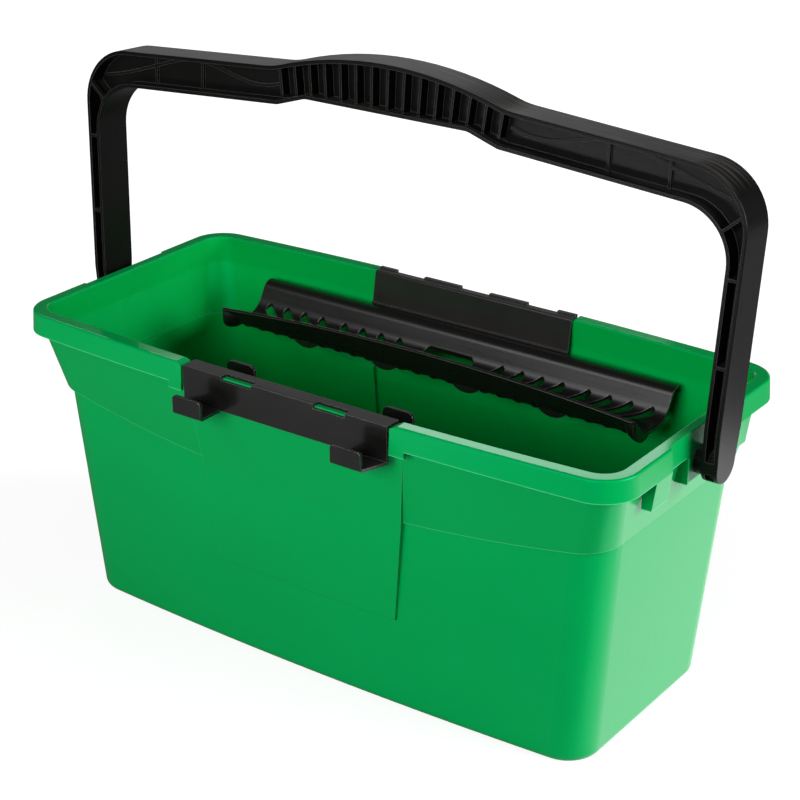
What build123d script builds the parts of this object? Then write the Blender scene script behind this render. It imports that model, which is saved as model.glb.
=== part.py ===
from build123d import *
import os
from collections import namedtuple
from math import cos, radians, sin

# Window cleaning bucket, in millimetres. X runs along the length, the front is at -Y and +Z is up.
# The origin is the centre of the base on the surface that the bucket stands on.

# Tub
tub_height = 237.0
wall = 2.8
floor_thickness = 3.0
rim_length = 522.0
rim_depth = 228.0
rim_bow = 9.8
rim_corner = 27.5
rim_width = 10.9
rim_thickness = 2.5
rim_round = 1.6
rim_bevel = 1.0
rim_end_run = 5.0
rim_end_drop = 2.5
skirt_height = 16.4
skirt_wall = 2.4
skirt_draft = 1.0
base_length = 454.0
base_depth = 176.0
base_bow = 7.6
base_corner = 26.0
base_round = 6.0
waist_level = 180.0
waist_length = 486.0
waist_depth = 191.6
waist_bow = 8.9
waist_corner = 26.0
flare_foot_level = 150.0
flare_foot_length = 478.0
flare_foot_depth = 184.6
flare_foot_bow = 11.5
flare_foot_corner = 24.0
band_height = 21.0
step_low = 153.0
step_rise = 26.0

# Panels on the long walls
panel_foot_level = 75.0
panel_crease_level = 150.0
panel_foot_width = 160.0
panel_top_width = 192.0
panel_foot_proud = 2.4
panel_proud = 3.8
panel_sink = 0.4

# Handle ears at the ends of the tub
bracket_width = 132.0
bracket_drop = 37.5
bracket_lean = 3.0
set_in_width = 90.0
set_in_depth = 3.2
set_in_height = 18.5
ear_width = 36.0
ear_rib = 2.0
ear_rib_proud = 1.2
pivot_drop = 25.0

# Handle
stud_radius = 8.0
stud_length = 5.0
stud_clearance = 0.05
running_gap = 0.3
boss_radius = 10.0
arm_gap = 4.5
arm_thickness = 12.1
arm_splay = 0.037
arm_end_radius = 13.0
handle_width = 30.8
handle_lean = 3.375
bar_end_height = 199.7
bar_slope = 0.069
bar_thickness = 27.6
outer_bend = 43.0
inner_bend = 36.5
grip_half_length = 98.5
grip_height = 228.5
grip_blend = 60.0
chin_half_length = 95.0
palm_half_length = 70.0
palm_rise = 7.9
chin_blend = 14.0
flange = 2.8
web = 5.0
handle_edge = 0.8
pocket_foot = 4.5
low_rib_height = 2.0
rib_thickness = 2.0
cross_rib_places = (174.6, 220.5)
arm_rib_heights = (71.6, 131.5)
bend_rib_angle = 40.0
grip_rib_count = 15
grip_rib_fan = 5.5
grip_rib_depth = 4.4
wave_rib_inset = 1.3
wave_height = 6.0

# Clips over the rim
clip_width = 179.0
clip_plate = 2.2
clip_clearance = 0.3
clip_end_gap = 2.0
clip_seat_drop = 3.5
clip_drop = 28.0
tab_drop = 5.0
tab_width = 12.0
hook_width = 25.5
hook_end_gap = 7.0
hook_reach = 20.4
hook_drop = 1.8
hook_lip = 14.7
hook_corner = 3.0
inner_hook_reach = 28.0
inner_hook_lip = 12.5
inner_hook_corner = 4.5
window_inner = 27.0
window_outer = 54.5
window_depth = 4.0
window_drop = 3.2
slit_width = 0.8

# Rear clip and the tray that hangs on it
rear_seat_drop = 1.3
rear_end_gap = 0.8
rear_plate_lean = 5.2
rear_plate_drop = 33.0
rear_tab_height = 1.3
rear_tab_start = 13.3
rear_tab_width = 34.4
rear_end_tab_width = 16.1
bead_level = 7.5
bead_height = 1.5
bead_reach = 1.4
cradle_width = 8.5
cradle_lip = 4.2
tray_length = 378.0
tray_wall = 2.0
tray_hook_height = 5.7
tray_crest_width = 8.9
tray_slope_run = 13.0
tray_slope_drop = 22.7
tray_floor_width = 30.4
tray_keel_lift = 1.7
tray_front_run = 14.5
tray_front_rise = 24.8
tray_lip_arch = 9.0
tray_hook_bend = 3.0
tray_crest_bend = 9.0
tray_slope_bend = 19.0
tray_keel_bend = 6.0
tray_corner = 6.0
slot_starts = (37.8, 113.7)
slot_pitch = 17.8
slots_per_group = 4
slot_length = 30.0
slot_width = 6.0
slot_lean = 55.0
slot_back = 27.8
hand_hole_length = 46.0
hand_hole_width = 15.0
hand_hole_corner = 5.0
hand_hole_back = 25.2
lobe_pitch = 75.8
lobe_count = 6
lobe_radius = 18.0
lobe_thickness = 4.0
lobe_back = 0.6
lobe_drop = 3.6
end_lobe_radius = 14.0
end_lobe_drop = 3.2
ripples_per_lobe = 5
ripple_back = 3.6
ripple_drop = 1.3

Outline = namedtuple("Outline", "length depth bow corner")
rim = Outline(rim_length / 2, rim_depth / 2, rim_bow, rim_corner)
base = Outline(base_length / 2, base_depth / 2, base_bow, base_corner)
waist = Outline(waist_length / 2, waist_depth / 2, waist_bow, waist_corner)
flare_foot = Outline(flare_foot_length / 2, flare_foot_depth / 2, flare_foot_bow, flare_foot_corner)
sides = (-1, 1)


def grown(outline, by):
    """The outline moved outwards by a distance."""
    return Outline(outline.length + by, outline.depth + by, outline.bow, outline.corner + by)


def face_at(outline, level):
    """Rectangle with bowed long sides and round corners, at a level."""
    x = outline.length
    y = outline.depth
    front = ThreePointArc((-x, -y), (0, -y - outline.bow), (x, -y))
    back = ThreePointArc((x, y), (0, y + outline.bow), (-x, y))
    ends = Line((x, -y), (x, y)) + Line((-x, y), (-x, -y))
    face = make_face(front + back + ends)
    return Pos(0, 0, level) * fillet(face.vertices(), outline.corner)


def tapered(low, low_level, high, high_level):
    """Solid between two outlines."""
    return loft([face_at(low, low_level), face_at(high, high_level)], ruled=True)


def span(x_range, y_range, z_range):
    """Box between limits on the three axes."""
    size = [high - low for low, high in (x_range, y_range, z_range)]
    middle = [(high + low) / 2 for low, high in (x_range, y_range, z_range)]
    return Pos(*middle) * Box(*size)


def bow_at(outline, x):
    """Half depth of a bowed outline at a place along its length."""
    return outline.depth + outline.bow * (1 - (x / outline.length) ** 2)


band = grown(rim, wall - rim_width)
skirt_foot = grown(rim, skirt_draft)
band_level = tub_height - band_height
skirt_level = tub_height - skirt_height
clip_half = clip_width / 2
notch_half = clip_half + clip_end_gap
rear_half = notch_half - rear_end_gap
clip_seat = tub_height - clip_seat_drop
rear_seat = tub_height - rear_seat_drop
pivot_level = tub_height - pivot_drop
ear_face = rim.length - set_in_depth

# Inner faces of the clips' outer and inner plates, measured from the middle of the tub, and their feet
clip_outer = bow_at(rim, clip_half) - clip_plate
rear_outer = bow_at(band, 0) + clip_clearance
clip_inner = bow_at(grown(band, -wall), rear_half) - clip_clearance
clip_foot = tub_height - clip_drop
cradle_foot = tub_height - rear_plate_drop


def wall_at(level):
    """Outline of the lower wall at a level."""
    share = level / waist_level
    return Outline(*(low + (high - low) * share for low, high in zip(base, waist)))


def below_step(raised):
    """Everything under the arched step of the wall."""
    x = rim.length
    end_level = step_low + step_rise + raised
    arch = ThreePointArc((-x, end_level), (0, step_low + raised), (x, end_level))
    frame = Polyline((x, end_level), (x, 0), (-x, 0), (-x, end_level))
    return extrude(Plane.XZ * make_face(arch + frame), rim_depth, both=True)


def panels(inset):
    """Blister on each long wall, from its foot over the step to the band, where it is flush."""
    foot_level = panel_foot_level + inset
    foot = grown(wall_at(foot_level), panel_foot_proud - inset)
    crease = grown(wall_at(panel_crease_level), panel_proud - inset)
    top = grown(band, -panel_sink - inset)
    lower = tapered(foot, foot_level, crease, panel_crease_level)
    upper = tapered(crease, panel_crease_level, top, band_level)
    foot_x = panel_foot_width / 2 - inset
    top_x = panel_top_width / 2 - inset
    foot_line = ((-foot_x, foot_level), (foot_x, foot_level))
    top_line = ((top_x, band_level), (-top_x, band_level))
    face = make_face(Polyline(*foot_line, *top_line, close=True))
    return (lower + upper) & extrude(Plane.XZ * face, rim_depth, both=True)


def wall_form(inset, floor_level, top_level):
    """Filled shape of the tub's wall, drawn in by an inset."""
    lower = tapered(grown(base, -inset), floor_level, grown(waist, -inset), waist_level)
    lower = fillet(lower.edges().group_by(Axis.Z)[0], base_round - inset)
    flare = tapered(grown(flare_foot, -inset), flare_foot_level, grown(band, -inset), band_level)
    collar = extrude(face_at(grown(band, -inset), band_level), top_level - band_level)
    return lower + (flare - below_step(inset)) + collar + panels(inset)


def rim_and_skirt():
    """Flat rim with its hanging skirt, cut away at the clips and the handle, with a ledge in front."""
    filled = tapered(skirt_foot, skirt_level, rim, tub_height)
    filled = fillet(filled.edges().group_by(Axis.Z)[-1], rim_round)
    inner_foot = grown(skirt_foot, -skirt_wall)
    hollow = tapered(inner_foot, skirt_level, grown(rim, -skirt_wall), tub_height - rim_thickness)
    ring = filled - hollow
    tab_level = skirt_level - tab_drop
    tab_end = notch_half + tab_width
    tabs = extrude(face_at(skirt_foot, tab_level), tab_drop)
    tabs -= extrude(face_at(inner_foot, tab_level), tab_drop)
    reach = skirt_foot.depth + rim_bow
    for x_side in sides:
        for y_side in sides:
            depth_range = sorted((y_side * band.depth, y_side * reach))
            tab_x = sorted((x_side * notch_half, x_side * tab_end))
            ring += tabs & span(tab_x, depth_range, (0, tub_height))
            end_wall = sorted((x_side * notch_half, x_side * (notch_half + skirt_wall)))
            ring += filled & span(end_wall, depth_range, (skirt_level, tub_height))
    notch_x = (-notch_half, notch_half)
    ring -= span(notch_x, (-rim_depth, rim_depth), (0, 2 * tub_height))
    ring += span(notch_x, (clip_clearance - clip_outer, -band.depth), (clip_seat - rim_thickness, clip_seat))
    set_in_y = (-set_in_width / 2, set_in_width / 2)
    for side in sides:
        ring -= span(sorted((side * ear_face, side * rim_length)), set_in_y, (0, 2 * tub_height))
    return ring


def handle_ear(side):
    """Set-in skirt, two hollow pillars and the ear that carries the handle's stud, at one end."""
    foot_level = tub_height - bracket_drop
    under_rim = tub_height - rim_thickness
    along = sorted((side * (band.length - wall / 2), side * rim_length))
    outer = tapered(grown(skirt_foot, -bracket_lean), foot_level, skirt_foot, skirt_level)
    skirt = tapered(skirt_foot, skirt_level, rim, tub_height)
    outer += skirt & span(along, (-rim_depth, rim_depth), (0, under_rim))
    inner_foot = grown(skirt_foot, -bracket_lean - skirt_wall)
    inner = tapered(inner_foot, foot_level, grown(rim, -skirt_wall), under_rim)
    plate = sorted((side * (ear_face - skirt_wall), side * ear_face))
    ear = span(plate, (-set_in_width / 2, set_in_width / 2), (tub_height - set_in_height, under_rim))
    for y_side in sides:
        pillar_y = sorted((y_side * set_in_width / 2, y_side * bracket_width / 2))
        hollow_y = (pillar_y[0] + skirt_wall, pillar_y[1] - skirt_wall)
        pillar = outer & span(along, pillar_y, (foot_level, under_rim))
        ear += pillar - (inner & span(along, hollow_y, (foot_level, under_rim)))
        rib_y = sorted((y_side * ear_width / 2, y_side * (ear_width / 2 - ear_rib)))
        rib_x = sorted((side * ear_face, side * (ear_face + ear_rib_proud)))
        ear += span(rib_x, rib_y, (foot_level, tub_height - set_in_height))
    block_x = sorted((side * flare_foot.length, side * ear_face))
    block = span(block_x, (-ear_width / 2, ear_width / 2), (foot_level, under_rim))
    return ear + block


def rim_end(side):
    """Wedge above the front rim where it slopes down to the clip."""
    low = (side * notch_half, tub_height - rim_end_drop)
    high = (side * (notch_half + rim_end_run), tub_height)
    above = ((high[0], 2 * tub_height), (low[0], 2 * tub_height))
    wedge = Plane.XZ * make_face(Polyline(low, high, *above, close=True))
    return extrude(wedge, rim_depth, dir=(0, -1, 0))


def stud_hole(side):
    """Blind hole in the ear for the handle's stud."""
    depth = stud_length + running_gap
    middle = side * (ear_face - depth / 2 + ear_rib_proud / 2)
    cutter = Cylinder(stud_radius + stud_clearance, depth + ear_rib_proud)
    return Pos(middle, 0, pivot_level) * Rot(0, 90, 0) * cutter


def bucket_body():
    """Green tub, one moulding."""
    body = wall_form(0, 0, tub_height) + rim_and_skirt()
    for side in sides:
        body += handle_ear(side)
    mouth = grown(band, -wall)
    body -= wall_form(wall, floor_thickness, 2 * tub_height)
    body -= tapered(mouth, tub_height - rim_bevel, grown(mouth, rim_bevel), tub_height)
    body -= span((-notch_half, notch_half), (-rim_depth, 0), (clip_seat, 2 * tub_height))
    body -= span((-notch_half, notch_half), (0, rim_depth), (rear_seat, 2 * tub_height))
    for side in sides:
        body -= rim_end(side)
        body -= stud_hole(side)
    return body


arm_inner = rim.length + arm_gap
arm_outer = arm_inner + arm_thickness
bar_end = arm_outer + arm_splay * bar_end_height
bar_inner_end = arm_inner + arm_splay * (bar_end_height - bar_thickness)


def bar_top(x):
    """Height of the crossbar's top above the pivot, outside the grip."""
    return bar_end_height + bar_slope * (bar_end - x)


def bar_bottom(x):
    """Height of the crossbar's underside above the pivot, outside the grip."""
    return bar_top(x) - bar_thickness


def mirrored(points):
    """Points of the right half followed by their mirror images in reverse order."""
    return list(points) + [(-x, height) for x, height in reversed(points)]


def handle_outline():
    """Side outline of the handle, with the pivots at height 0."""
    low = -arm_end_radius
    hump_end = (grip_half_length, bar_top(grip_half_length))
    arm_foot = (arm_outer + arm_splay * low, low)
    arm_inner_foot = (arm_inner + arm_splay * low, low)
    outer_corner = (bar_end, bar_end_height)
    inner_corner = (bar_inner_end, bar_bottom(bar_inner_end))
    chin = (chin_half_length, bar_bottom(chin_half_length))
    palm = (palm_half_length, bar_bottom(chin_half_length) + palm_rise)
    hump = ThreePointArc(hump_end, (0, grip_height), (-hump_end[0], hump_end[1]))
    right = Polyline(arm_inner_foot, arm_foot, outer_corner, hump_end)
    left = Polyline(*[(-x, height) for x, height in (hump_end, outer_corner, arm_foot, arm_inner_foot)])
    under = Polyline(*mirrored([arm_inner_foot, inner_corner, chin, palm]))
    face = make_face(hump + right + left + under)
    places = (outer_corner, inner_corner, hump_end, chin, palm)
    bends = (outer_bend, inner_bend, grip_blend, chin_blend, chin_blend)
    for place, radius in zip(places, bends):
        for side in sides:
            corner = face.vertices().sort_by_distance((side * place[0], place[1], 0))[0]
            face = fillet(corner, radius)
    return face


def strip(start, end, thickness):
    """Straight rib in the handle's side view."""
    return trace(Line(start, end), thickness)


def low_ribs():
    """Cross ribs and the waving rib on the web of the crossbar, right half."""
    middle = [bar_bottom(x) + bar_thickness / 2 for x in cross_rib_places]
    ribs = [strip((x, height - bar_thickness), (x, height + bar_thickness), rib_thickness)
            for x, height in zip(cross_rib_places, middle)]
    crest = (cross_rib_places[0], bar_top(cross_rib_places[0]) - flange - wave_rib_inset)
    start = (grip_half_length, bar_top(grip_half_length) - bar_thickness / 2)
    trough = ((start[0] + crest[0]) / 2, start[1] - wave_height / 2)
    dip = (cross_rib_places[1], bar_bottom(cross_rib_places[1]) + bar_thickness / 2 + wave_height / 2)
    end = (bar_inner_end, bar_bottom(bar_inner_end) + wave_height)
    ribs.append(trace(Spline(start, trough, crest, dip, end), rib_thickness))
    return ribs


def deep_ribs():
    """Ribs that fill the arms' and the bend's pockets, right half."""
    ribs = []
    for height in arm_rib_heights:
        inner = arm_inner + arm_splay * height
        ribs.append(strip((inner, height), (inner + arm_thickness, height), rib_thickness))
    centre = (bar_inner_end - inner_bend, bar_bottom(bar_inner_end) - inner_bend)
    reach = inner_bend + outer_bend
    turn = radians(bend_rib_angle)
    tip = (centre[0] + reach * cos(turn), centre[1] + reach * sin(turn))
    ribs.append(strip(centre, tip, rib_thickness))
    return ribs


def grip_ribs():
    """Row of slightly fanned ribs across the grip."""
    last = (grip_rib_count - 1) / 2
    ribs = []
    for number in range(grip_rib_count):
        place = (number - last) / last
        foot = (place * (grip_half_length - grip_rib_fan), bar_bottom(0))
        head = (place * grip_half_length, grip_height)
        ribs.append(strip(foot, head, rib_thickness))
    return ribs


def handle():
    """Black handle with its studs, one moulding, leaning back as it stands."""
    half = handle_width / 2
    outline = handle_outline()
    blank = extrude(Plane.XZ * outline, half, both=True)
    taper_end = (half, 2 * arm_end_radius)
    side_view = Polyline((arm_end_radius, 0), taper_end, (half, 2 * grip_height), (0, 2 * grip_height))
    side_face = make_face(side_view + Polyline((0, 2 * grip_height), (0, 0), (arm_end_radius, 0)))
    side_face += mirror(side_face, Plane.YZ) + Circle(arm_end_radius)
    blank &= extrude(Plane.YZ * side_face, rim_length, both=True)
    blank = fillet(blank.faces().filter_by(Axis.Y).edges(), handle_edge)
    pocket = offset(outline, -flange, kind=Kind.ARC)
    low_limit = 2 * pocket_foot
    pocket -= Pos(0, pocket_foot - low_limit / 2) * Rectangle(2 * rim_length, low_limit)
    low = pocket & Sketch() + [rib + mirror(rib, Plane.YZ) for rib in low_ribs()]
    deep = pocket & Sketch() + [rib + mirror(rib, Plane.YZ) for rib in deep_ribs()]
    grips = pocket & Sketch() + grip_ribs()
    depth = half - web / 2
    shape = blank
    for side in sides:
        face_y = side * web / 2
        cut = extrude(Pos(0, face_y, 0) * (Plane.XZ * pocket), half, dir=(0, side, 0))
        keep = extrude(Pos(0, face_y, 0) * (Plane.XZ * low), low_rib_height, dir=(0, side, 0))
        keep += extrude(Pos(0, face_y, 0) * (Plane.XZ * deep), depth, dir=(0, side, 0))
        keep += extrude(Pos(0, face_y, 0) * (Plane.XZ * grips), depth - grip_rib_depth, dir=(0, side, 0))
        shape -= cut - keep
    for side in sides:
        boss_end = ear_face + running_gap
        boss_root = arm_inner + arm_thickness / 2
        boss = Cylinder(boss_radius, boss_root - boss_end)
        shape += Pos(side * (boss_root + boss_end) / 2, 0, 0) * Rot(0, 90, 0) * boss
        stud_end = ear_face - stud_length
        stud = Cylinder(stud_radius, boss_root - stud_end)
        shape += Pos(side * (boss_root + stud_end) / 2, 0, 0) * Rot(0, 90, 0) * stud
    return Pos(0, 0, pivot_level) * Rot(-handle_lean, 0, 0) * shape


clip_bend = clip_plate / 2 + clip_clearance


def bent_strip(points, thickness, bend):
    """Cross-section of a bent strip along its middle line, in the Y-Z plane."""
    return trace(FilletPolyline(*points, radius=bend), thickness)


def across(face, x_range):
    """Cross-section in the Y-Z plane, drawn out along X."""
    low, high = x_range
    return Pos(low, 0, 0) * extrude(Plane.YZ * face, high - low)


def hook(path, x_range, corner):
    """Bent hook, with the upper corners of its lip rounded."""
    shape = across(bent_strip(path, clip_plate, clip_bend), x_range)
    return fillet(shape.edges().filter_by(Axis.Y).group_by(Axis.Z)[-1], corner)


def front_tool_clip():
    """Clip over the front rim with two hooks outside and two inside."""
    half = clip_plate / 2
    width = (-clip_half, clip_half)
    outer_face = -clip_outer - clip_plate
    inner_face = -clip_inner + clip_plate
    inner_foot = band_level
    top = clip_seat + clip_plate
    shape = span(width, (outer_face, inner_face), (clip_seat, top))
    shape += span(width, (outer_face, -clip_outer), (clip_foot, top))
    shape += span(width, (-clip_inner, inner_face), (inner_foot, top))
    shape -= span((-window_inner, window_inner), (-clip_outer, slit_width - clip_outer), (clip_seat, top))
    outer = outer_face + half
    inner = inner_face - half
    outer_lip = outer_face - hook_reach + half
    inner_lip = inner_face + inner_hook_reach - half
    shelf = clip_foot - hook_drop + half
    inner_shelf = inner_foot + half
    outer_path = ((outer, clip_foot + 2 * clip_bend), (outer, shelf), (outer_lip, shelf),
                  (outer_lip, shelf - half + hook_lip))
    inner_path = ((inner, inner_shelf + 2 * clip_bend), (inner, inner_shelf), (inner_lip, inner_shelf),
                  (inner_lip, inner_foot + inner_hook_lip))
    hook_end = clip_half - hook_end_gap
    for side in sides:
        hook_x = sorted((side * hook_end, side * (hook_end - hook_width)))
        shape += hook(outer_path, hook_x, hook_corner)
        shape += hook(inner_path, hook_x, inner_hook_corner)
        flare = ((side * hook_end, outer_lip), (side * clip_half, outer), (side * hook_end, outer))
        flare_face = Pos(0, 0, shelf - half) * make_face(Polyline(*flare, close=True))
        shape += extrude(flare_face, clip_plate, dir=(0, 0, 1))
        window_x = sorted((side * window_inner, side * window_outer))
        shape -= span(window_x, (outer_face, window_depth - clip_outer), (top - window_drop, top))
    return shape


def rear_path():
    """Middle line of the rear clip, over the rim, down its inner plate and along the cradle."""
    half = clip_plate / 2
    outer = rear_outer + half
    inner = clip_inner - half
    top = rear_seat + half
    foot = (inner - rear_plate_lean, cradle_foot + half)
    lip = foot[1] + cradle_lip
    front = foot[0] - cradle_width
    return ((outer, clip_foot), (outer, top), (inner, top), foot, (front, foot[1]), (front, lip))


def rear_clip():
    """Clip over the back rim, with a bead and a cradle along its inner foot that carries the tray."""
    path = rear_path()
    half = clip_plate / 2
    width = (-rear_half, rear_half)
    shape = across(bent_strip(path, clip_plate, clip_bend), width)
    foot_y = path[3][0]
    bead_foot = cradle_foot + bead_level
    shape += span(width, (foot_y - bead_reach, foot_y + half), (bead_foot, bead_foot + bead_height))
    tab_y = (rear_outer - half, rear_outer + clip_plate)
    tab_z = (rear_seat + half, rear_seat + clip_plate + rear_tab_height)
    middle_tab = (rear_tab_start, rear_tab_start + rear_tab_width)
    end_tab = (rear_half - rear_end_tab_width, rear_half)
    for side in sides:
        for near, far in (middle_tab, end_tab):
            shape += span(sorted((side * near, side * far)), tab_y, tab_z)
    return shape


def tray_points():
    """Corners of the tray's middle line: hook foot, both ends of the crest, slope foot, keel and lip."""
    plate_y, cradle_z = rear_path()[-3]
    hook_y = plate_y - cradle_width / 2
    hook_foot = cradle_z + clip_plate / 2 + running_gap
    crest_z = hook_foot + tray_hook_height
    crest_y = hook_y - tray_crest_width
    floor_z = crest_z - tray_slope_drop
    slope_foot = crest_y - tray_slope_run
    keel_y = slope_foot - tray_floor_width
    keel = (keel_y, floor_z + tray_keel_lift)
    lip = (keel_y - tray_front_run, keel[1] + tray_front_rise)
    crest = ((hook_y, crest_z), (crest_y, crest_z))
    return (hook_y, hook_foot), *crest, (slope_foot, floor_z), keel, lip


def tray_path(share):
    """Middle line of the tray at a share of its half length: the lip is arched, lower at the ends."""
    *corners, lip = tray_points()
    lowered = (lip[0], lip[1] - tray_lip_arch * share ** 2)
    bends = (tray_hook_bend, tray_crest_bend, tray_slope_bend, tray_keel_bend)
    return FilletPolyline(*corners, lowered, radius=bends)


def tray_strip(share):
    """Cross-section of the tray."""
    return trace(tray_path(share), tray_wall)


def tray_underside(share):
    """Everything under the tray's middle line."""
    path = tray_path(share)
    start = path @ 0
    end = path @ 1
    return make_face(path + Polyline(end, (end.X, 0), (start.X, 0), start))


def along_tray(section):
    """Solid through a cross-section taken at both ends and in the middle of the tray."""
    half = tray_length / 2
    return loft([Pos(share * half, 0, 0) * (Plane.YZ * section(share)) for share in (-1, 0, 1)])


def tray_lobes():
    """Flat lobes along the keel, round ones at both ends and smaller ripples between them."""
    keel_y, keel_middle = tray_points()[-2]
    keel_z = keel_middle - tray_wall / 2
    ripple_pitch = lobe_pitch / ripples_per_lobe
    ripple_radius = ripple_pitch / 2
    last = (lobe_count - 1) * ripples_per_lobe
    flat_lobe = Rot(90, 0, 0) * Cylinder(lobe_radius, lobe_thickness)
    lobes = Part()
    for number in range(last + 1):
        x = number * ripple_pitch - last * ripple_pitch / 2
        if number in (0, last):
            lobes += Pos(x, keel_y, keel_z - end_lobe_drop + end_lobe_radius) * Sphere(end_lobe_radius)
        elif number % ripples_per_lobe == 0:
            lobes += Pos(x, keel_y + lobe_back, keel_z - lobe_drop + lobe_radius) * flat_lobe
        else:
            ripple_z = keel_z - ripple_drop + ripple_radius
            lobes += Pos(x, keel_y + ripple_back, ripple_z) * Sphere(ripple_radius)
    return lobes & along_tray(tray_underside)


def sieve_tray():
    """Trough with drain slots and a hand hole, hooked over the lip of the rear clip's cradle."""
    points = tray_points()
    hook_y = points[0][0]
    lip_y = points[-1][0]
    shape = along_tray(tray_strip) + tray_lobes()
    plan = RectangleRounded(tray_length, hook_y - lip_y + 2 * tray_wall, tray_corner)
    shape &= extrude(Pos(0, (hook_y + lip_y) / 2, 0) * plan, tub_height)
    hand_hole = RectangleRounded(hand_hole_length, hand_hole_width, hand_hole_corner)
    openings = Pos(0, hook_y - hand_hole_back) * hand_hole
    for side in sides:
        slot = SlotOverall(slot_length, slot_width, rotation=90 - side * slot_lean)
        for start in slot_starts:
            for number in range(slots_per_group):
                place = start + number * slot_pitch
                openings += Pos(side * place, hook_y - slot_back) * slot
    return shape - extrude(openings, tub_height)


pieces = {
    "bucket_body": bucket_body(),
    "handle": handle(),
    "front_tool_clip": front_tool_clip(),
    "rear_clip": rear_clip(),
    "sieve_tray": sieve_tray(),
}

os.makedirs("parts", exist_ok=True)
for name, shape in pieces.items():
    export_step(shape, f"parts/{name}.step")
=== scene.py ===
import bpy
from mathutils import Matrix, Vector

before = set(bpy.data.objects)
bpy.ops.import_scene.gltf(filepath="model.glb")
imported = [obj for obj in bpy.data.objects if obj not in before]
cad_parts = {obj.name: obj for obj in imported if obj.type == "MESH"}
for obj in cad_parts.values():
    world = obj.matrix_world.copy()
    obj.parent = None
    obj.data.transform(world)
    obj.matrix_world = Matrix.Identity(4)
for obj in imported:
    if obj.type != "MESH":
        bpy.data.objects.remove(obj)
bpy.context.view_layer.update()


# Bucket body: the green tub with its rim, skirt, panels and handle ears. One injection moulding in
# polypropylene, satin on the walls and polished on the rim. It stands free on its flat base.
class Paint:
    """A value in one node tree. Sums and products of values add the Math nodes."""

    def __init__(self, tree, socket=None):
        self.tree = tree
        self.socket = socket

    def node(self, kind, settings, inputs, output=0):
        """A new node: its settings first, then the values or links of its sockets."""
        made = self.tree.nodes.new(kind)
        for name, value in settings.items():
            setattr(made, name, value)
        for name, value in inputs.items():
            if isinstance(value, Paint):
                self.tree.links.new(value.socket, made.inputs[name])
            else:
                made.inputs[name].default_value = value
        return Paint(self.tree, made.outputs[output] if made.outputs else None)

    def maths(self, operation, first, second):
        """One Math node on two values."""
        return self.node("ShaderNodeMath", {"operation": operation}, {0: first, 1: second})

    def __add__(self, other):
        return self.maths("ADD", self, other)

    def __mul__(self, other):
        return self.maths("MULTIPLY", self, other)

    def __sub__(self, other):
        return self.maths("SUBTRACT", self, other)

    def __rsub__(self, other):
        return self.maths("SUBTRACT", other, self)

    __radd__ = __add__
    __rmul__ = __mul__


def start_material(name):
    """A new material with an empty node tree, and the object coordinates to paint it by."""
    material = bpy.data.materials.new(name)
    material.use_nodes = True
    material.node_tree.nodes.clear()
    paint = Paint(material.node_tree)
    return material, paint, paint.node("ShaderNodeTexCoord", {}, {}, "Object")


def close_material(paint, colour, roughness, normal, fixed):
    """The shader itself, with what varies linked and what is the same all over set on its sockets."""
    inputs = {"Base Color": colour, "Roughness": roughness, "Normal": normal}
    shader = paint.node("ShaderNodeBsdfPrincipled", {}, {**inputs, **fixed})
    paint.node("ShaderNodeOutputMaterial", {}, {"Surface": shader})


def dress(piece, material):
    """Gives a piece of the frame its material."""
    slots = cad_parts[piece].data.materials
    slots.clear()
    slots.append(material)


def vectors(paint, operation, first, second=(0, 0, 0)):
    """Maths on vectors. A dot product, a length and a distance come out as a value."""
    output = "Value" if operation in ("DOT_PRODUCT", "LENGTH", "DISTANCE") else "Vector"
    return paint.node("ShaderNodeVectorMath", {"operation": operation}, {0: first, 1: second}, output)


def share_along(paint, vector, axis):
    """How far a vector reaches along X, Y or Z."""
    return paint.node("ShaderNodeSeparateXYZ", {}, {"Vector": vector}, axis)


def noise(paint, place, size, stretch=(1, 1, 1), detail=2.0):
    """Soft blotches of about that size in metres, from 0 to 1, drawn out by a stretch on each axis."""
    scaled = vectors(paint, "MULTIPLY", place, [1 / (size * by) for by in stretch])
    return paint.node("ShaderNodeTexNoise", {}, {"Vector": scaled, "Scale": 1.0, "Detail": detail}, "Fac")


def ramp(paint, value, low, high):
    """A mask that rises smoothly from 0 at the low value to 1 at the high one, or the other way round."""
    inputs = {"Value": value, "From Min": low, "From Max": high}
    return paint.node("ShaderNodeMapRange", {"interpolation_type": "SMOOTHSTEP"}, inputs)


def blend(paint, factor, low, high):
    """A colour between two."""
    return paint.node("ShaderNodeMix", {"data_type": "RGBA"}, {0: factor, 6: low, 7: high}, 2)


def blend_normals(paint, factor, low, high):
    """A direction between two."""
    return paint.node("ShaderNodeMix", {"data_type": "VECTOR"}, {0: factor, 4: low, 5: high}, 1)


def round_off(paint, radius, samples=8):
    """The normal as if each edge had that radius."""
    return paint.node("ShaderNodeBevel", {"samples": samples}, {"Radius": radius}, "Normal")


def edges(paint, radius, still_flat=0.99, full_edge=0.8):
    """The normal with rounded edges, and a mask of where it turns away from the flat face."""
    rounded = round_off(paint, radius)
    flat = paint.node("ShaderNodeNewGeometry", {}, {}, "True Normal")
    return rounded, ramp(paint, vectors(paint, "DOT_PRODUCT", rounded, flat), still_flat, full_edge)


def grained(paint, height, strength, normal, depth=0.0001):
    """The normal with a fine grain, as the mould's surface leaves it."""
    inputs = {"Strength": strength, "Distance": depth, "Height": height, "Normal": normal}
    return paint.node("ShaderNodeBump", {}, inputs)


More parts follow.
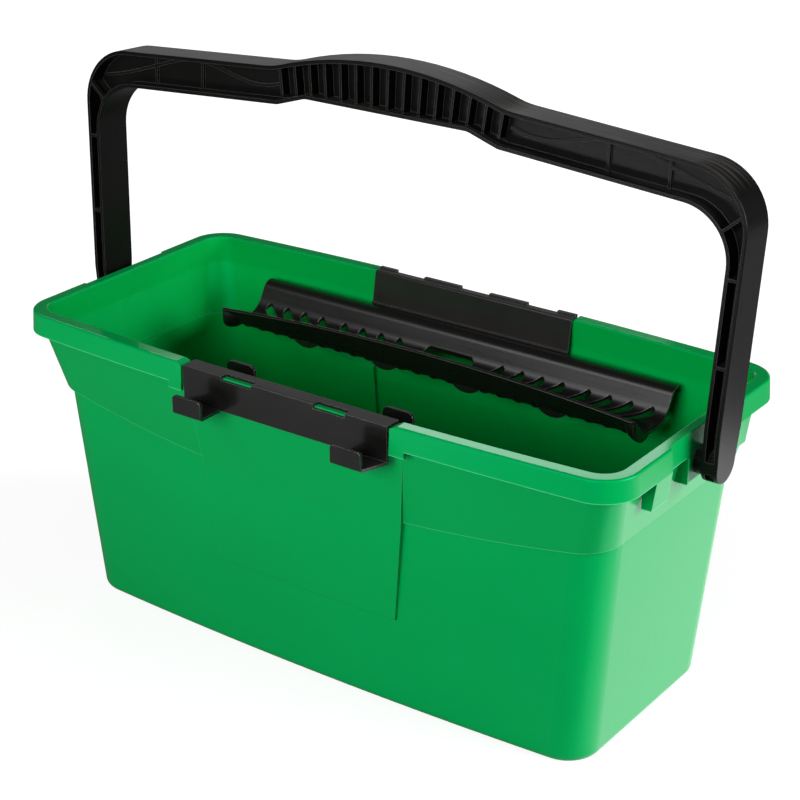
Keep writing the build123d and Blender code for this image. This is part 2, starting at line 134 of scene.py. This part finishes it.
rim_top = max(corner[2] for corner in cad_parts["bucket_body"].bound_box)
polish_from, polish_to = rim_top - 0.0007, rim_top - 0.0001
bend_bottom, bend_top, bend_fade = rim_top - 0.037, rim_top - 0.005, 0.010
lines_from, lines_to = 0.145, 0.150
end_lines_from, end_lines_to = 0.180, 0.190
wall_faces_from, wall_faces_to = 0.85, 0.95
inside_from, inside_to = -0.02, -0.06
underside_from, underside_to = -0.1, -0.35
edge_radius, hem_radius, bend_radius, bend_samples = 0.0008, 0.002, 0.006, 16
deep_green, pale_green = (0.0, 0.315, 0.067, 1), (0.0, 0.365, 0.080, 1)
inside_shade_green, highlight_green = (0.0, 0.325, 0.042, 1), (0.10, 0.66, 0.32, 1)
gloss_green = (0.0, 0.85, 0.55, 1)
wear_and_highlight_share, lower_highlight_share = 0.25, 0.75
satin, uneven_gloss, rubbed_dull, rim_gloss, inside_dull = 0.28, 0.06, 0.05, 0.26, 0.22
grain_strength, grain_polished_off = 0.12, 0.9

green, paint, place = start_material("moulded_green")
height = share_along(paint, place, "Z")
facing = paint.node("ShaderNodeNewGeometry", {}, {}, "True Normal")
turn = vectors(paint, "ABSOLUTE", facing)
long_wall = ramp(paint, share_along(paint, turn, "Y"), wall_faces_from, wall_faces_to)
end_wall = ramp(paint, share_along(paint, turn, "X"), wall_faces_from, wall_faces_to)
inside = ramp(paint, vectors(paint, "DOT_PRODUCT", facing, place), inside_from, inside_to)
polish = ramp(paint, height, polish_from, polish_to)

# The inside of the wall bends softly out to the rim.
rounded, wear_and_highlight = edges(paint, edge_radius)
above_bottom = ramp(paint, height, bend_bottom, bend_bottom + bend_fade)
below_top = ramp(paint, height, bend_top, bend_top - bend_fade)
inner_bend = (long_wall + end_wall) * (above_bottom * below_top) * inside
rounded = blend_normals(paint, inner_bend, rounded, round_off(paint, bend_radius, bend_samples))
rounded = vectors(paint, "NORMALIZE", rounded)

# The lower edges of the skirt and the step get a painted highlight, but not the step on the end walls.
broad, hem = edges(paint, hem_radius)
underside = ramp(paint, share_along(paint, broad, "Z"), underside_from, underside_to)
lower_edge_highlight = hem * underside * ramp(paint, height, lines_from, lines_to)
lower_edge_highlight = lower_edge_highlight * (1 - end_wall * ramp(paint, height, end_lines_to, end_lines_from))
rounded = blend_normals(paint, lower_edge_highlight, rounded, facing)

# The pigment is uneven where the plastic flowed, and the walls are rubbed along their height.
flow = noise(paint, place, size=0.07, stretch=(2.0, 2.0, 1.0))
rub = noise(paint, place, size=0.002, stretch=(1.0, 1.0, 12.0))
grain = noise(paint, place, size=0.0005)
# The inside faces get a painted shade tint, a little darker and less blue than the outside.
pigment = blend(paint, inside, blend(paint, flow, deep_green, pale_green), inside_shade_green)
# Edges are painted paler: a painted highlight with some wear, stronger on the lower edges.
colour = blend(paint, wear_and_highlight_share * wear_and_highlight + lower_highlight_share * lower_edge_highlight, pigment, highlight_green)
roughness = satin + uneven_gloss * flow + rubbed_dull * rub - rim_gloss * polish + inside_dull * inside
normal = grained(paint, grain * (1 - grain_polished_off * polish), grain_strength, rounded)
close_material(paint, colour, roughness, normal, {"IOR": 1.49, "Specular Tint": gloss_green})
dress("bucket_body", green)


# Handle: carrying handle with its grip, arms and webs. One glossy black polypropylene moulding, whose two
# studs snap into the ears of the tub. The upper faces show faint drag lines from the mould, and the rib
# edges carry a painted highlight, with some wear.
def warm_black(level):
    """A black or grey that leans a little to brown, as the pigment does."""
    return (level, 0.94 * level, 0.9 * level, 1)


def black_plastic(name, gloss, mirror, edge_radius, dulling, black, wear_and_highlight_grey, drag_lines):
    """Black moulded plastic. The dulling and the drag lines lie on the faces that look up at rest."""
    uneven, line_grey = 0.2, 0.08
    upper_from, upper_to, line_from, line_to = 0.6, 0.95, 0.45, 0.65
    matt, polish_reach, flow_dull, streak_dull = 0.42, 0.34, 0.05, 0.1
    streak_depth, grain_strength = 0.6, 0.1
    material, paint, place = start_material(name)
    flow = noise(paint, place, size=0.025)
    streak = noise(paint, place, size=0.0012, stretch=(60.0, 1.0, 60.0))
    grain = noise(paint, place, size=0.0004)
    rounded, wear_and_highlight = edges(paint, edge_radius)
    to_own_frame = {"vector_type": "NORMAL", "convert_from": "WORLD", "convert_to": "OBJECT"}
    own_normal = paint.node("ShaderNodeVectorTransform", to_own_frame, {"Vector": rounded})
    upper = ramp(paint, share_along(paint, own_normal, "Z"), upper_from, upper_to)
    drag = drag_lines * (upper * ramp(paint, streak, line_from, line_to))
    pigment = blend(paint, flow, warm_black((1 - uneven) * black), warm_black((1 + uneven) * black))
    pigment = blend(paint, drag, pigment, warm_black(line_grey))
    # The edges are painted greyer: a painted highlight with some wear.
    colour = blend(paint, wear_and_highlight, pigment, warm_black(wear_and_highlight_grey))
    roughness = matt - polish_reach * gloss + dulling * upper + flow_dull * flow + streak_dull * streak
    normal = grained(paint, grain + streak_depth * streak, grain_strength, rounded)
    close_material(paint, colour, roughness, normal, {"IOR": 1.5, "Specular IOR Level": mirror})
    return material


handle_black = black_plastic("handle_black", gloss=0.6, mirror=0.13, edge_radius=0.0006,
                             dulling=0.1, black=0.0045, wear_and_highlight_grey=0.11, drag_lines=0.7)
dress("handle", handle_black)


# Front tool clip: a bent plate with two outer and two inner hooks for tools. One glossy black
# polypropylene moulding, pushed down over the front rim, which it grips by its own spring.
clip_black = black_plastic("clip_black", gloss=0.95, mirror=0.6, edge_radius=0.0005,
                           dulling=0.4, black=0.0075, wear_and_highlight_grey=0.14, drag_lines=0.0)
dress("front_tool_clip", clip_black)


# Rear clip: a plate over the back rim with tabs along its top and a cradle for the tray along its foot.
# One glossy black polypropylene moulding, pushed down over the rim. Its black is painted greyer, as painted
# light.
rear_clip_lightened_black = black_plastic("rear_clip_lightened_black", gloss=0.95, mirror=0.5, edge_radius=0.0005,
                                dulling=0.4, black=0.018, wear_and_highlight_grey=0.10, drag_lines=0.0)
dress("rear_clip", rear_clip_lightened_black)


# Sieve tray: a trough with slots and a hand hole, through which wet tools drip back into the tub. One
# satin black polypropylene moulding, hooked by its back edge into the cradle of the rear clip.
tray_black = black_plastic("tray_black", gloss=0.6, mirror=0.8, edge_radius=0.0007,
                           dulling=0.0, black=0.005, wear_and_highlight_grey=0.10, drag_lines=0.0)
dress("sieve_tray", tray_black)


# Floor: a pale sheet without an edge, which carries the shadow and is not part of the object.
# The camera sees it glow, more so away from the object, so that the background is white. The gloss of
# the right end mirrors a patch of it that glows more, as it would a white card laid there.
def grey(level):
    """A neutral grey, or white at 1."""
    return (level, level, level, 1)


floor_half = 12.0
glow_near, glow_far = 0.25, 0.9
near_white, far_white, paper_white = 0.82, 1.0, 0.30
card_middle, card_core, card_reach = (0.38, 0.18, 0), 0.28, 0.34
card_back, card_fade, card_glow = 0.46, 0.06, 1.75
corners = [(x * floor_half, y * floor_half, 0) for x, y in ((-1, -1), (1, -1), (1, 1), (-1, 1))]
floor_mesh = bpy.data.meshes.new("floor")
floor_mesh.from_pydata(corners, [], [(0, 1, 2, 3)])
floor = bpy.data.objects.new("floor", floor_mesh)
bpy.context.scene.collection.objects.link(floor)
pale, paint, place = start_material("pale_floor")
away = ramp(paint, vectors(paint, "LENGTH", place), glow_near, glow_far)
near_card = ramp(paint, vectors(paint, "DISTANCE", place, card_middle), card_reach, card_core)
before_back = ramp(paint, share_along(paint, place, "Y"), card_back, card_back - card_fade)
mirrored = paint.node("ShaderNodeLightPath", {}, {}, "Is Glossy Ray") * (near_card * before_back)
white = blend(paint, mirrored, blend(paint, away, grey(near_white), grey(far_white)), grey(card_glow))
paper = paint.node("ShaderNodeBsdfDiffuse", {}, {"Color": grey(paper_white)})
glow = paint.node("ShaderNodeEmission", {}, {"Color": white, "Strength": 1.0})
lit_paper = paint.node("ShaderNodeAddShader", {}, {0: paper, 1: glow})
seen = paint.node("ShaderNodeLightPath", {}, {}, "Is Camera Ray") + mirrored
surface = paint.node("ShaderNodeMixShader", {}, {0: seen, 1: paper, 2: lit_paper})
paint.node("ShaderNodeOutputMaterial", {}, {"Surface": surface})
floor_mesh.materials.append(pale)


# Light: large soft boxes in front and at the right, and four weak ones: a low strip behind, a strip above
# it that the rim mirrors, one on the floor at the front left for the handle's webs, and one high at the
# front left for the tray's sheen. The room is dim, and white only to the camera.
def soft_box(name, place, aim, size, power):
    """A rectangular area light at a place, turned to its aim, with its size in metres and power in watts."""
    data = bpy.data.lights.new(name, "AREA")
    data.shape = "RECTANGLE"
    data.size, data.size_y = size
    data.energy = power
    lamp = bpy.data.objects.new(name, data)
    lamp.location = place
    lamp.rotation_euler = (Vector(aim) - Vector(place)).to_track_quat("-Z", "Y").to_euler()
    bpy.context.scene.collection.objects.link(lamp)


tub_middle = (0, 0, 0.18)
soft_box("front_light", (0.15, -2.2, 1.0), tub_middle, size=(1.4, 1.0), power=45)
soft_box("right_light", (2.0, 0.5, 0.85), tub_middle, size=(1.2, 1.0), power=53)
soft_box("back_light", (-1.2, 2.0, 0.70), tub_middle, size=(2.6, 0.40), power=2.6)
soft_box("rim_light", (-1.35, 1.66, 1.29), tub_middle, size=(1.30, 0.26), power=3.3)
soft_box("low_front_light", (-0.54, -1.13, 0.01), (-0.54, -1.13, 1.0), size=(0.36, 0.5), power=7.0)
soft_box("high_light", (-0.85, -1.35, 1.76), tub_middle, size=(0.9, 0.6), power=4.4)

room_light = 0.03
world = bpy.data.worlds.new("room")
world.use_nodes = True
world.node_tree.nodes.clear()
paint = Paint(world.node_tree)
dim = paint.node("ShaderNodeBackground", {}, {"Color": grey(1), "Strength": room_light})
bright = paint.node("ShaderNodeBackground", {}, {"Color": grey(1), "Strength": 1.0})
seen = paint.node("ShaderNodeLightPath", {}, {}, "Is Camera Ray")
backdrop = paint.node("ShaderNodeMixShader", {}, {0: seen, 1: dim, 2: bright})
paint.node("ShaderNodeOutputWorld", {}, {"Surface": backdrop})
bpy.context.scene.world = world
bpy.context.scene.view_settings.view_transform = "Standard"


# Camera: stands at the photograph's angle, in front and to the right of the bucket, and looks down on
# it. Place, aim and lens were fitted to the rim, the base and the mirror symmetry of the tub.
camera_place = Vector((0.8052, -1.1005, 0.7912))
camera_aim = Vector((0.01183, 0, 0.19089))
lens_mm, sensor_mm = 90.7, 36.0
camera_data = bpy.data.cameras.new("camera")
camera_data.lens = lens_mm
camera_data.sensor_width = sensor_mm
camera = bpy.data.objects.new("camera", camera_data)
camera.location = camera_place
camera.rotation_euler = (camera_aim - camera_place).to_track_quat("-Z", "Y").to_euler()
bpy.context.scene.collection.objects.link(camera)
bpy.context.scene.camera = camera
